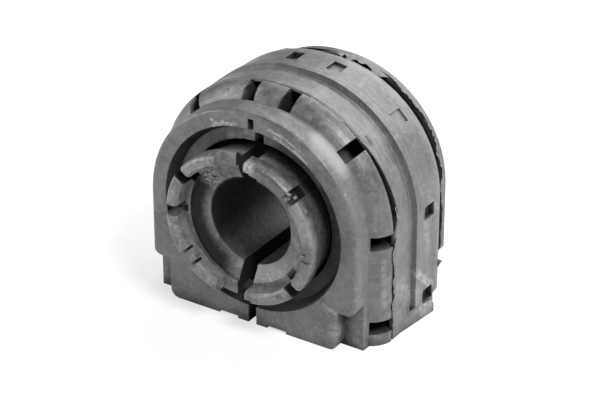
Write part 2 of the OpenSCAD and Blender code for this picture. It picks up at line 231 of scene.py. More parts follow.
class Surface(Graph):
    """A graph whose patterns are laid out in millimetres of the object's own place."""

    def __init__(self, material: bpy.types.Material) -> None:
        """Starts the material's tree with its place in several measures.

        The radius is the distance from the bore's axis, the reach the distance from the middle line of the
        D-shape, and the angle is that about the axis, 0 at the top and growing to the right.

        Args:
            material: The material that gets the tree.
        """
        super().__init__(material.node_tree)
        self.place = self.vector(VectorMaths.SCALE, self.wire("ShaderNodeTexCoord", "Object"), 1 / MM)
        parts = self.node("ShaderNodeSeparateXYZ", None, {0: self.place})
        self.across, self.along, self.up = (Wire(self, output) for output in parts.outputs)
        rise = self.up - AXIS
        self.radius = (self.across * self.across + rise * rise) ** 0.5
        flat = abs(self.across) - SPREAD
        above = rise.at_least(0.0)
        self.reach = (flat * flat + above * above) ** 0.5
        self.angle = rise.sum_with(Maths.ANGLE, self.across, rise) * (180 / math.pi)

    def vector(self, operation: VectorMaths, first: Any, second: Any) -> Wire:
        """Adds a Vector Math node.

        Args:
            operation: What the node does.
            first: A wire or a vector.
            second: A wire or a vector, or a wire or a number for a scale.

        Returns:
            The node's vector, or its number for a distance or a dot product.
        """
        output = 1 if operation in (VectorMaths.DISTANCE, VectorMaths.DOT) else 0
        inputs = {0: first, "Scale" if operation is VectorMaths.SCALE else 1: second}
        return self.wire("ShaderNodeVectorMath", output, {"operation": operation.value}, inputs)

    def stretched(self, stretch: Point, turn: float = 0.0) -> Wire:
        """The place, turned about Y and then stretched.

        Args:
            stretch: Stretch along each axis.
            turn: Turn about Y, degrees.

        Returns:
            The new place.
        """
        inputs = {"Vector": self.place, "Angle": math.radians(turn)}
        turned = self.wire("ShaderNodeVectorRotate", 0, {"rotation_type": "Y_AXIS"}, inputs)
        return self.vector(VectorMaths.MULTIPLY, turned, stretch)

    def noise(
        self, size: float, detail: float = 4.0, rough: float = 0.55, bend: float = 0.0,
        place: Wire | None = None,
    ) -> Wire:
        """Cloudy noise from 0 to 1.

        Args:
            size: Size of the clouds, mm.
            detail: Number of finer layers.
            rough: Strength of the finer layers.
            bend: How far the clouds are bent.
            place: Another place to read.

        Returns:
            The noise, 0.5 on average.
        """
        inputs = {"Vector": place or self.place, "Scale": 1 / size, "Detail": detail, "Roughness": rough}
        return self.wire("ShaderNodeTexNoise", 0, None, {**inputs, "Distortion": bend})

    def cells(self, size: float) -> Wire:
        """Distance to the nearest of many scattered points, in cells."""
        return self.wire("ShaderNodeTexVoronoi", 0, None, {"Vector": self.place, "Scale": 1 / size})

    def scratches(self, width: float, length: float, turn: float, level: float = 0.69) -> Wire:
        """Short straight scratches: the peaks of a noise that is drawn out in one direction.

        Args:
            width: Width of the scratches, mm.
            length: Their length, mm.
            turn: Turn of the pattern about Y, degrees.
            level: Height of the noise above which a scratch shows.

        Returns:
            A mask, 1 on the scratches.
        """
        place = self.stretched((1 / width, 1 / length, 1 / length), turn)
        return self.noise(1.0, 1.0, 0.5, 0.0, place).between(level, level + 0.05)

    def worn_edges(self, radius: float) -> tuple[Wire, Wire]:
        """Rounded normals and a mask of the edges, from how far the rounded normal leans off the face.

        Args:
            radius: Radius of the round on each edge, mm.

        Returns:
            The rounded normal and the mask, 1 on a sharp edge.
        """
        rounded = self.wire("ShaderNodeBevel", 0, {"samples": 6}, {"Radius": radius * MM})
        lean = self.vector(VectorMaths.DOT, rounded, self.wire("ShaderNodeNewGeometry", "Normal"))
        return rounded, (1.0 - lean).between(0.02, 0.3)

    def hollows(self, reach: float) -> Wire:
        """A mask of creases and deep places, 1 where little of the surroundings is open."""
        settings = {"samples": 6, "inside": False, "only_local": False}
        return 1.0 - self.wire("ShaderNodeAmbientOcclusion", 1, settings, {"Distance": reach * MM})

    def bump(self, height: Wire, depth: float, normal: Wire | None = None) -> Wire:
        """A bumped normal.

        Args:
            height: The height, 0 to 1.
            depth: The height of 1, mm.
            normal: A normal to start from.

        Returns:
            The new normal.
        """
        inputs: Inputs = {"Height": height, "Distance": depth * MM, "Strength": 1.0}
        if normal is not None:
            inputs["Normal"] = normal
        return self.wire("ShaderNodeBump", 0, None, inputs)

    def close(
        self, colour: Wire, roughness: Wire, normal: Wire, gloss: float, painted_shade: Wire | None = None
    ) -> None:
        """Ends the tree in one Principled shader, with painted shade, a matt black, over it where asked.

        Args:
            colour: Base colour.
            roughness: Roughness.
            normal: Normal.
            gloss: Specular level, a plain number.
            painted_shade: Mask of the painted shade, the matt black that stands for shade in hollows.
        """
        inputs = {"Base Color": colour, "Roughness": roughness, "Normal": normal, "Specular IOR Level": gloss}
        shader = self.wire("ShaderNodeBsdfPrincipled", 0, None, inputs)
        if painted_shade is not None:
            # painted shade: a near-black matt diffuse that takes the place of the shader where shade falls
            black = {"Color": (*grey(0.018), 1.0), "Normal": normal}
            matt = self.wire("ShaderNodeBsdfDiffuse", 0, None, black)
            shader = self.wire("ShaderNodeMixShader", 0, None, {0: painted_shade, 1: shader, 2: matt})
        self.node("ShaderNodeOutputMaterial", None, {0: shader})


def grey(value: float) -> Colour:
    """A neutral grey."""
    return (value, value, value * 1.01)


def new_material(name: str) -> bpy.types.Material:
    """An empty material with nodes.

    Args:
        name: The material's name.

    Returns:
        The new material.
    """
    material = bpy.data.materials.new(name)
    material.use_nodes = True
    return material


# Single marks


@dataclass(frozen=True)
class Dot:
    """A round soft mark about a point: full inside the core, gone at the reach."""

    centre: Point
    reach: float
    core: float
    strength: float = 1.0

    def on(self, s: Surface) -> Wire:
        """The mark's mask on a surface."""
        away = s.vector(VectorMaths.DISTANCE, s.place, self.centre)
        return away.between(self.reach, self.core) * self.strength


@dataclass(frozen=True)
class Stroke:
    """A soft mark along a straight line: full inside the core, gone at the reach."""

    start: Point
    end: Point
    reach: float
    core: float
    strength: float = 1.0

    def on(self, s: Surface) -> Wire:
        """The mark's mask on a surface.

        The nearest point of the line is start + d * clamp((p - start) . d / d . d), with d = end - start.

        Args:
            s: The surface that holds the mark.

        Returns:
            The mask, as large as the strength on the line.
        """
        way = np.subtract(self.end, self.start)
        aside = s.vector(VectorMaths.SUBTRACT, s.place, self.start)
        share = s.vector(VectorMaths.DOT, aside, tuple(way / float(way @ way))).at_least(0.0).at_most(1.0)
        nearest = s.vector(VectorMaths.SCALE, tuple(way), share)
        return s.vector(VectorMaths.DISTANCE, aside, nearest).between(self.reach, self.core) * self.strength


@dataclass(frozen=True)
class Curve:
    """A soft wavy mark along an arc on the front face."""

    radius: float
    first: float
    last: float
    width: float
    strength: float = 1.0
    depth: float = 1.5
    waves: float = 2.2

    def on(self, s: Surface) -> Wire:
        """The mark's mask on a surface.

        It is the ring | radius + waves * (noise - 0.5) - own radius | < width, cut to its angles.

        Args:
            s: The surface that holds the mark.

        Returns:
            The mask, as large as the strength on the arc.
        """
        wavy = s.radius + (s.noise(1.6, 2.0) - 0.5) * self.waves
        ring = abs(wavy - self.radius).between(self.width, self.width * 0.4)
        middle, half = (self.first + self.last) / 2, (self.last - self.first) / 2
        spread = abs(s.angle - middle).between(half, half - 1.5)
        return ring * spread * s.along.between(FRONT + self.depth, FRONT + self.depth * 0.6) * self.strength


Mark = Dot | Stroke | Curve


def overlaid(marks: Iterable[Mark], s: Surface) -> Wire:
    """The strongest of several marks at each place of a surface."""
    return strongest(mark.on(s) for mark in marks)


# Finishes


@dataclass(frozen=True)
class RubberFinish:
    """Moulded black rubber with a pale bloom, fine grain, mould drag lines, scuffs and worn edges, and
    painted shade and highlights.
    """

    name: str = "moulded_rubber"
    deep: Colour = grey(0.06)
    plain: Colour = grey(0.115)
    bloom: Colour = grey(0.23)
    # pale dust and wear, and also the painted highlights in the valley and on the top left flank
    dust_and_highlight: Colour = grey(0.42)
    dirty: Colour = grey(0.05)
    # dark marks, which on the flank are also painted shade over the key lamp's highlight
    smudge_and_shade: Colour = grey(0.035)
    drag_line: Colour = grey(0.03)
    # painted shade colour for creases and hollows
    painted_crease_shade: Colour = grey(0.02)
    edge_round: float = 0.35
    gloss: float = 0.85
    roughness: float = 0.37
    relief: float = 0.4
    # strength of the painted shade
    painted_shade_share: float = 0.95
    line_places: tuple[float, ...] = (-8.6, -6.9, -4.9, 4.6)
    window_angle: float = 10.2
    ramp_angle: float = 47.0
    smudge_and_shade_places: tuple[Stroke, ...] = (
        Stroke((8.5, -11.5, 64.5), (20.0, -11.5, 58.0), reach=3.6, core=0.5),
        Stroke((5.0, -4.0, 64.6), (19.0, -5.0, 60.0), reach=2.6, core=0.2, strength=0.7),
        Stroke((3.0, -20.3, 61.4), (15.0, -20.3, 58.6), reach=3.4, core=1.2, strength=1.3),
        Stroke((15.0, -14.2, 60.0), (24.0, -14.2, 54.5), reach=2.6, core=0.4, strength=0.6),
        Stroke((33.9, -14.2, 27.0), (34.2, -14.2, 16.0), reach=2.6, core=0.4, strength=0.6),
    )
    # painted highlights in the valley on the right and on the flank at the top left
    valley_highlight: Stroke = Stroke((17.0, -17.6, 57.2), (24.0, -17.6, 51.2), reach=4.0, core=0.4)
    flank_highlight: Stroke = Stroke((-15.0, -14.2, 60.6), (-4.0, -14.2, 63.6), reach=3.0, core=0.4)
    pale_marks: tuple[Mark, ...] = (
        Stroke((35.4, 1.6, 14.8), (35.6, 9.8, 7.2), reach=1.7, core=0.6),
        Stroke((35.3, 8.3, 33.4), (35.3, 12.1, 29.2), reach=1.3, core=0.2, strength=0.6),
        Stroke((35.4, 6.0, 28.0), (35.4, 8.0, 19.0), reach=2.2, core=0.2, strength=0.5),
        Dot((36.6, 5.5, 1.5), reach=4.0, core=1.5, strength=0.8),
        Stroke((35.5, -6.0, 14.0), (35.9, 6.0, 3.5), reach=4.5, core=0.5, strength=0.5),
        Dot((25.7, -22.0, 6.0), reach=3.4, core=0.5, strength=0.8),
        Stroke((22.0, -22.6, 12.5), (26.0, -22.6, 11.5), reach=1.2, core=0.2, strength=0.7),
        Stroke((26.3, -18.6, 3.0), (30.9, -18.5, 1.4), reach=2.0, core=0.2, strength=0.6),
        Stroke((35.3, -13.8, 25.0), (35.3, -13.4, 12.0), reach=1.7, core=0.1, strength=0.7),
        Curve(radius=27.0, first=-27.0, last=-8.0, width=0.7),
        Curve(radius=28.3, first=10.0, last=19.0, width=0.5),
        Curve(radius=26.9, first=14.0, last=40.0, width=0.8, strength=0.8),
    )
    scratch_lines: tuple[Stroke, ...] = (
        Stroke((-12.2, FRONT, 57.0), (-9.9, FRONT, 56.1), reach=0.7, core=0.2),
        Stroke((5.2, FRONT, 58.7), (11.0, FRONT, 57.5), reach=0.4, core=0.12),
        Stroke((9.0, FRONT, 58.3), (16.2, FRONT, 54.6), reach=0.35, core=0.1),
        Stroke((11.6, FRONT, 55.6), (14.4, FRONT, 53.5), reach=0.35, core=0.1),
        Stroke((13.2, FRONT, 55.4), (17.0, FRONT, 52.4), reach=0.35, core=0.1),
    )

    def material(self) -> bpy.types.Material:
        """Builds the material.

        Returns:
            The finished material.
        """
        made = new_material(self.name)
        s = Surface(made)
        rounded, edges = s.worn_edges(self.edge_round)
        clouds = s.noise(8.0, detail=9.0, rough=0.7, bend=0.5)
        mottle = s.noise(1.9, detail=5.0, rough=0.68, bend=0.4)
        grain = s.noise(0.3, detail=3.0, rough=0.6)
        dirt = s.noise(3.4, 4.0, 0.62, 0.8, s.stretched((0.6, 1.6, 0.6))).between(0.54, 0.7)
        worn = edges * s.noise(1.6, detail=3.0, rough=0.7).between(0.35, 0.65)
        scratches = self.scratches(s)
        dusted = self.recess_dust(s) * mottle.between(0.3, 0.6)
        layers = [
            (mottle.between(0.44, 0.76) * 0.6, self.bloom),
            (self.smears(s) * 0.45, self.bloom),
            (dirt * 0.6, self.dirty),
            (scratches * 0.7, self.dust_and_highlight),
            (self.mould_lines(s) * 0.8, self.drag_line),
            # dark marks, partly painted shade on the flank
            (self.smudges_and_shade(s) * 0.75, self.smudge_and_shade),
            # painted highlights on valley and flank
            (self.painted_highlights(s) * 0.6, self.dust_and_highlight),
            (self.specks(s) * 0.9, self.dust_and_highlight),
            (self.marks(s), self.dust_and_highlight),
            (self.face_scratches(s) * 0.8, self.dust_and_highlight),
            (worn * 0.8, self.dust_and_highlight),
            ((grain - 0.5) * 1.1 + 0.12, self.bloom),
            # painted shade in creases and hollows
            (s.hollows(1.6).between(0.3, 0.8) * 0.75, self.painted_crease_shade),
            (dusted * 0.8, self.dust_and_highlight),
        ]
        colour = s.layered(s.mix(clouds.between(0.36, 0.62), self.deep, self.plain), layers)
        roughness = self.roughness + (mottle - 0.5) * 0.4 + (grain - 0.5) * 0.25 + worn * 0.1 + dirt * 0.15
        height = clouds * 0.35 + mottle * 0.3 + grain * 0.12 - scratches * 0.08
        # painted shade, lessened under the recess dust
        painted_shade = self.painted_shade(s) * (1.0 - dusted * 0.8) * self.painted_shade_share
        s.close(colour, roughness, s.bump(height, self.relief, rounded), self.gloss, painted_shade)
        return made

    def smears(self, s: Surface) -> Wire:
        """Pale smears that are drawn out along the bore."""
        return s.noise(2.4, 4.0, 0.6, 1.2, s.stretched((1.0, 0.3, 1.0))).between(0.56, 0.7)

    def specks(self, s: Surface) -> Wire:
        """Pale specks that lie in loose groups."""
        return s.cells(1.5).between(0.09, 0.03) * s.noise(5.0, 2.0).between(0.5, 0.6)

    def scratches(self, s: Surface) -> Wire:
        """Two sets of fine scratches that lie in loose groups.

        Args:
            s: The surface that holds the scratches.

        Returns:
            A mask, 1 on the scratches.
        """
        rising = s.scratches(width=0.14, length=3.5, turn=35.0, level=0.72)
        falling = s.scratches(width=0.1, length=2.6, turn=-25.0, level=0.73)
        return rising.at_least(falling) * s.noise(4.0, 2.0).between(0.5, 0.62)

    def mould_lines(self, s: Surface) -> Wire:
        """Fine dark lines that run round the top of the bush between shoulder and groove.

        Args:
            s: The surface that holds the lines.

        Returns:
            A mask, 1 on the lines.
        """
        place = s.along + (s.noise(9.0, detail=3.0) - 0.5) * 3.0
        lines = strongest(abs(place - line).between(0.3, 0.1) for line in self.line_places)
        return lines * s.noise(2.6, detail=3.0).between(0.42, 0.54) * s.up.between(44.0, 52.0)

    def smudges_and_shade(self, s: Surface) -> Wire:
        """Dark marks on lip, flank, shoulder and band, at the top and on the right; on the flank they are
        also painted shade over the key lamp's highlight.
        """
        return overlaid(self.smudge_and_shade_places, s) * s.noise(1.8, 4.0, 0.65).between(0.35, 0.6)

    def painted_highlights(self, s: Surface) -> Wire:
        """The painted highlights: a pale sheen painted in the valley on the right and on the flank at the top
        left.
        """
        flank = self.flank_highlight.on(s) * s.noise(1.8, 4.0, 0.65).between(0.3, 0.6)
        return self.valley_highlight.on(s).at_least(flank)

    def marks(self, s: Surface) -> Wire:
        """The pale marks: smears on the right side, scuffs round the recess, rough notches."""
        return overlaid(self.pale_marks, s) * s.noise(1.1, 6.0, 0.75).between(0.36, 0.62)

    def face_scratches(self, s: Surface) -> Wire:
        """The fine straight scratches on the upper front face and the dusty one left of the slit."""
        return overlaid(self.scratch_lines, s) * s.noise(0.9, 4.0, 0.7).between(0.4, 0.56)

    def recess_dust(self, s: Surface) -> Wire:
        """The dust on the step of the front recess, left of the slit."""
        return Stroke((-8.5, -18.7, 51.2), (-2.6, -18.7, 53.6), reach=2.6, core=0.3).on(s)

    def painted_shade(self, s: Surface) -> Wire:
        """Painted shade, a matt black, in creases, windows, rear gap and front recess.

        The groove and the sloped floor of the right-hand window stay paler than their depth would make them.

        Args:
            s: The surface that holds the grime.

        Returns:
            A mask, 1 where it is black.
        """
        groove = abs(s.along + 0.3).between(2.6, 2.0) * s.reach.between(31.2, 31.6)
        ramp = abs(s.angle - self.ramp_angle).between(7.0, 6.0) * s.along.between(-5.4, -9.0)
        less_groove_shade = 1.0 - groove * s.up.between(6.0, 42.0) * 0.8
        less_ramp_shade = 1.0 - ramp * s.reach.between(35.0, 34.0) * 0.75
        # painted shade in creases, from the ambient occlusion mask
        creases = s.hollows(7.0).between(0.38, 0.7) * less_groove_shade * less_ramp_shade
        inside = s.along.between(-22.6, -22.35) * s.along.between(-5.0, -8.0)
        # painted shade on the floor of the front recess below the sleeve, and painted shadow on its upper
        # left wall
        recess = s.radius.between(26.8, 26.3) * inside * s.up.between(34.0, 22.0)
        wall = s.reach.between(26.4, 26.1) * s.reach.between(24.0, 24.6) * inside
        left_wall = wall * s.across.between(-1.0, -9.0)
        return strongest((creases, self.windows(s), self.gap(s), recess * 0.7, left_wall * 0.85))

    def windows(self, s: Surface) -> Wire:
        """Painted shade in the upper front windows, growing from their mouth to the band."""
        inner = abs(abs(s.angle) - self.window_angle).between(4.4, 3.3) * s.reach.between(33.4, 32.7)
        return inner * s.along.between(-16.2, -12.6) * s.along.between(-7.5, -8.5)

    def gap(self, s: Surface) -> Wire:
        """Painted shade in the gap in front of the rear lip, with a ragged edge on the band's side.

        Args:
            s: The surface that holds the gap.

        Returns:
            A mask, 1 in the gap.
        """
        walls = s.along.between(16.0, 16.7) * s.along.between(19.75, 19.5) * s.reach.between(30.9, 30.4)
        torn = (s.noise(1.4, detail=3.0) - 0.5) * 2.6
        flank = (s.reach + torn).between(32.8, 32.0)
        flank = flank * s.along.between(13.0, 14.5) * s.along.between(18.0, 17.5)
        lip = s.along.between(16.5, 17.0) * (s.along + torn).between(20.5, 20.2)
        return walls.at_least(flank.at_least(lip) * s.across.between(10.0, 17.0))


@dataclass(frozen=True)
class SleeveFinish:
    """Hard dark sleeve skin: even tone, handling scratches, rubbed edges and pale specks, and painted shade.
    """

    name: str = "hard_sleeve"
    deep: Colour = grey(0.08)
    plain: Colour = grey(0.17)
    rubbed: Colour = grey(0.32)
    speck: Colour = grey(0.5)
    shaded: Colour = grey(0.045)
    # painted shade colour for creases and hollows
    painted_crease_shade: Colour = grey(0.02)
    edge_round: float = 0.4
    gloss: float = 0.85
    roughness: float = 0.36
    relief: float = 0.3
    # strength of the painted shade
    painted_shade_share: float = 0.95
    slots: tuple[tuple[int, float], ...] = ((-1, 36.0), (1, 45.5), (1, -40.0))

    def material(self) -> bpy.types.Material:
        """Builds the material.

        Returns:
            The finished material.
        """
        made = new_material(self.name)
        s = Surface(made)
        rounded, edges = s.worn_edges(self.edge_round)
        clouds = s.noise(6.0, detail=9.0, rough=0.7, bend=0.8)
        mottle = s.noise(1.5, detail=5.0, rough=0.68, bend=0.5)
        grain = s.noise(0.3, detail=3.0, rough=0.6)
        worn = edges * s.noise(1.2, detail=3.0, rough=0.7).between(0.3, 0.6)
        scratches = self.scratches(s)
        crumbled, mouth_dust_and_shade = self.crumbled(s), self.mouth_dust_and_shade(s)
        flecks = self.flecks(s, mouth_dust_and_shade)
        layers = [
            (mottle.between(0.46, 0.7) * 0.7, self.rubbed),
            (scratches * 0.6, self.rubbed),
            (s.cells(0.9).between(0.13, 0.05) * s.noise(3.5, 2.0).between(0.46, 0.58), self.speck),
            (worn * 0.85, self.speck),
            # painted shade in creases and hollows
            (s.hollows(2.0).between(0.35, 0.8) * 0.7, self.painted_crease_shade),
            (self.shade(s) * 0.6, self.shaded),
            # painted shade on the mouth of the bore
            (mouth_dust_and_shade * 0.6, self.deep),
            (strongest((self.knocks(s), crumbled, flecks)) * 0.8, self.speck),
            (self.pale_rim(s) * mottle.between(0.2, 0.6), self.rubbed),
        ]
        colour = s.layered(s.mix(clouds.between(0.38, 0.6), self.deep, self.plain), layers)
        roughness = self.roughness + (mottle - 0.5) * 0.4 + (grain - 0.5) * 0.2
        height = clouds * 0.3 + mottle * 0.3 + grain * 0.12 - scratches * 0.1
        # painted shade
        painted_shade = self.painted_shade(s, crumbled, flecks) * self.painted_shade_share
        s.close(colour, roughness, s.bump(height, self.relief, rounded), self.gloss, painted_shade)
        return made

    def scratches(self, s: Surface) -> Wire:
        """Two sets of handling scratches that lie in loose groups."""
        both = s.scratches(width=0.1, length=2.2, turn=60.0), s.scratches(width=0.12, length=3.0, turn=-15.0)
        return strongest(both) * s.noise(4.0, 2.0).between(0.42, 0.58)

    def crumbled(self, s: Surface) -> Wire:
        """The rough crumbled dirt on the upper left collar."""
        place = Dot((-11.0, -24.5, 41.6), reach=4.4, core=1.2)
        return place.on(s) * s.noise(0.9, detail=5.0, rough=0.75).between(0.42, 0.62)

    def mouth_dust_and_shade(self, s: Surface) -> Wire:
        """The mouth of the bore at the lower right: painted shade darkens it, and dust flecks lie in it."""
        place = Dot((9.0, -25.0, 20.0), reach=11.0, core=5.0)
        return place.on(s) * s.radius.between(16.6, 15.6) * s.across.between(2.0, 4.0)

    def flecks(self, s: Surface, mouth_dust_and_shade: Wire) -> Wire:
        """Pale flecks on the outside of the right half and in the mouth of its bore.

        Args:
            s: The surface that holds the flecks.
            mouth_dust_and_shade: Mask of the bore's mouth.

        Returns:
            A mask, 1 on a fleck.
        """
        outer = s.cells(1.3).between(0.18, 0.09) * s.noise(2.6, detail=2.0).between(0.5, 0.6) * 0.6
        outer = outer * s.radius.between(17.8, 18.6) * s.across.between(3.0, 6.0)
        return outer.at_least(mouth_dust_and_shade * s.cells(0.9).between(0.19, 0.09) * 0.7)

    def shade(self, s: Surface) -> Wire:
        """The darker side of the right half behind its rim."""
        return s.across.between(3.0, 9.0) * s.up.between(20.0, 31.0) * s.along.between(-28.4, -29.3)

    def pale_rim(self, s: Surface) -> Wire:
        """The paler outer part of the right rim."""
        return s.across.between(15.0, 18.5) * s.along.between(-28.0, -29.0) * s.up.between(32.0, 36.0) * 0.6

    def knocks(self, s: Surface) -> Wire:
        """The chip beside the split and the scuff below the bore.

        Args:
            s: The surface that holds the knocks.

        Returns:
            A mask, 1 on a knock.
        """
        chip = Dot((3.4, -28.6, 50.2), reach=2.6, core=0.8)
        scuff = Stroke((4.0, -26.5, 16.5), (11.0, -27.0, 20.5), reach=4.5, core=0.8)
        chipped = chip.on(s) * s.noise(0.8, detail=3.0).between(0.35, 0.6)
        return chipped.at_least(scuff.on(s) * s.noise(0.7, detail=5.0, rough=0.68).between(0.46, 0.64))

    def painted_shade(self, s: Surface, crumbled: Wire, flecks: Wire) -> Wire:
        """Painted shade, a matt black, in creases, split, groove, bore, slots and outside of the right half.

        Args:
            s: The surface that holds the grime.
            crumbled: Mask of the crumbled dirt, which hides the groove.
            flecks: Mask of the flecks, which show through.

        Returns:
            A mask, 1 where it is black.
        """
        groove = s.radius.between(12.2, 15.2) * s.radius.between(17.7, 17.4) * s.along.between(-29.4, -28.9)
        groove = groove * s.across.between(-3.0, -8.0) * s.up.between(47.0, 40.0) * (1.0 - crumbled)
        outer = s.radius.between(18.4, 20.3) * s.along.between(-27.8, -25.6) * s.across.between(2.0, 8.0)
        split = abs(s.across).between(HALF_SPLIT + 0.2, HALF_SPLIT + 0.02)
        bore = s.radius.between(12.7, 12.3)
        places = (s.hollows(6.0).between(0.4, 0.8), split, groove, bore * 0.95, outer * 0.7)
        walls = [self.slot_walls(s, side, angle) * 0.9 for side, angle in self.slots]
        return strongest((strongest(places) * (1.0 - flecks * 0.8), *walls))

    def slot_walls(self, s: Surface, side: int, angle: float) -> Wire:
        """Painted shade on the walls of one slot of the rim.

        With n at right angles to the slot, the walls lie where |(p - middle) . n| is at most half its width.

        Args:
            s: The surface that holds the slot.
            side: -1 for the left half, 1 for the right half.
            angle: Angle of the slot above the middle, degrees.

        Returns:
            A mask, 1 on the walls.
        """
        turn = math.radians(angle)
        shift = s.across - side * HALF_SPLIT
        rise = s.up - (AXIS - SLEEVE_DROP)
        aside = abs(shift * -math.sin(turn) * side + rise * math.cos(turn))
        outward = shift * math.cos(turn) * side + rise * math.sin(turn)
        return aside.between(1.85, 1.66) * outward.between(14.0, 15.5) * s.along.between(-29.5, -29.1)


@dataclass(frozen=True)
class FlashFinish:
    """Thin torn rubber, mottled between two tones."""

    name: str = "torn_skin"
    dark: Colour = grey(0.08)
    pale: Colour = grey(0.22)
    gloss: float = 0.45
    roughness: float = 0.55
    relief: float = 0.25

    def material(self) -> bpy.types.Material:
        """Builds the material.

        Returns:
            The finished material.
        """
        made = new_material(self.name)
        s = Surface(made)
        mottle = s.noise(0.9, detail=4.0, rough=0.65, bend=0.6)
        grain = s.noise(0.25, detail=3.0, rough=0.6)
        colour = s.mix(mottle.between(0.3, 0.7), self.dark, self.pale)
        roughness = self.roughness + (mottle - 0.5) * 0.3
        s.close(colour, roughness, s.bump(mottle * 0.6 + grain * 0.2, self.relief), self.gloss)
        return made


@dataclass(frozen=True)
class FloorFinish:
    """Pale floor that shows white to the camera and keeps the bush's soft shadow."""

    name: str = "studio_floor"
    tone: Colour = (0.82, 0.82, 0.82)
    lit: Colour = (0.36, 0.36, 0.36)
    lift: float = 0.66

    def material(self) -> bpy.types.Material:
        """Builds the material: a plain matt floor, lifted to white for camera and transmission rays.

        Returns:
            The finished material.
        """
        made = new_material(self.name)
        g = Graph(made.node_tree)
        matt = g.wire("ShaderNodeBsdfDiffuse", 0, None, {"Color": (*self.tone, 1.0)})
        shown = g.wire("ShaderNodeBsdfDiffuse", 0, None, {"Color": (*self.lit, 1.0)})
        glow = g.wire("ShaderNodeEmission", 0, None, {"Color": WHITE, "Strength": self.lift})
        lifted = g.wire("ShaderNodeAddShader", 0, None, {0: shown, 1: glow})
        mixed = g.wire("ShaderNodeMixShader", 0, None, {0: g.seen(), 1: matt, 2: lifted})
        g.node("ShaderNodeOutputMaterial", None, {0: mixed})
        return made


# Meshes


def mesh_object(name: str, points: np.ndarray, faces: list[list[int]]) -> bpy.types.Object:
    """Puts points and faces into a new object at the origin.

    Args:
        name: The piece's name.
        points: Points, one row each, mm.
        faces: Corner numbers of each face.

    Returns:
        The new object.
    """
    mesh = bpy.data.meshes.new(name)
    mesh.from_pydata((points * MM).tolist(), [], faces)
    made = bpy.data.objects.new(name, mesh)
    bpy.context.scene.collection.objects.link(made)
    return made


def tube_object(name: str, rings: np.ndarray) -> bpy.types.Object:
    """A closed skin over a row of rings, with a flat cap on each end.

    Args:
        name: The piece's name.
        rings: Points as rings by points of a ring by 3, mm.

    Returns:
        The new object, smooth and with its faces looking outwards.
    """
    count, around = rings.shape[:2]
    row = np.arange(count - 1)[:, None] * around
    here = np.arange(around)[None, :]
    first, beside = row + here, row + (here + 1) % around
    quads = np.stack([first, beside, beside + around, first + around], axis=-1).reshape(-1, 4)
    caps = [list(range(around)), list(range((count - 1) * around, count * around))]
    made = mesh_object(name, rings.reshape(-1, 3), quads.tolist() + caps)
    work = bmesh.new()
    work.from_mesh(made.data)
    bmesh.ops.recalc_face_normals(work, faces=work.faces)
    work.to_mesh(made.data)
    work.free()
    made.data.polygons.foreach_set("use_smooth", np.ones(len(made.data.polygons), bool))
    return made


def wander(count: int, knots: int, seed: int) -> np.ndarray:
    """A smooth random line from 0 to 1: random heights at even knots, joined by half cosines.

    Args:
        count: Number of values.
        knots: Number of random heights.
        seed: Seed of the random heights.

    Returns:
        The values.
    """
    heights = np.random.default_rng(seed).random(knots + 1)
    place = np.linspace(0, knots, count, endpoint=False)
    low = place.astype(int)
    share = (1 - np.cos(np.pi * (place - low))) / 2
    return heights[low] * (1 - share) + heights[low + 1] * share


@dataclass(frozen=True)
class ArchLine:
    """A line round the bush: over the top on one radius, then straight down one side."""

    radius: float
    spread: float
    side: int = 1
    axis: float = AXIS

    def at(self, station: np.ndarray) -> tuple[np.ndarray, np.ndarray]:
        """Points and outward directions of the line.

        With a = min(station, 90 degrees): x = side * (spread + radius * sin a), z = axis + radius * cos a.
        Past 90 degrees z falls by radius times the rest of the angle.

        Args:
            station: Angle from the top, degrees; past 90 the same rate is kept down the side.

        Returns:
            Points with y = 0 and outward directions, one row each.
        """
        angle = np.radians(np.minimum(station, 90))
        drop = np.radians(np.maximum(station - 90, 0)) * self.radius
        outward = np.stack([self.side * np.sin(angle), np.zeros_like(angle), np.cos(angle)], axis=-1)
        shift = np.array([self.side * self.spread, 0.0, self.axis])
        points = shift + outward * self.radius - np.stack([drop * 0, drop * 0, drop], axis=-1)
        return points, outward

    def station_of(self, height: float) -> float:
        """The station on the straight side at a height above the base, mm."""
        return 90 + math.degrees((self.axis - height) / self.radius)


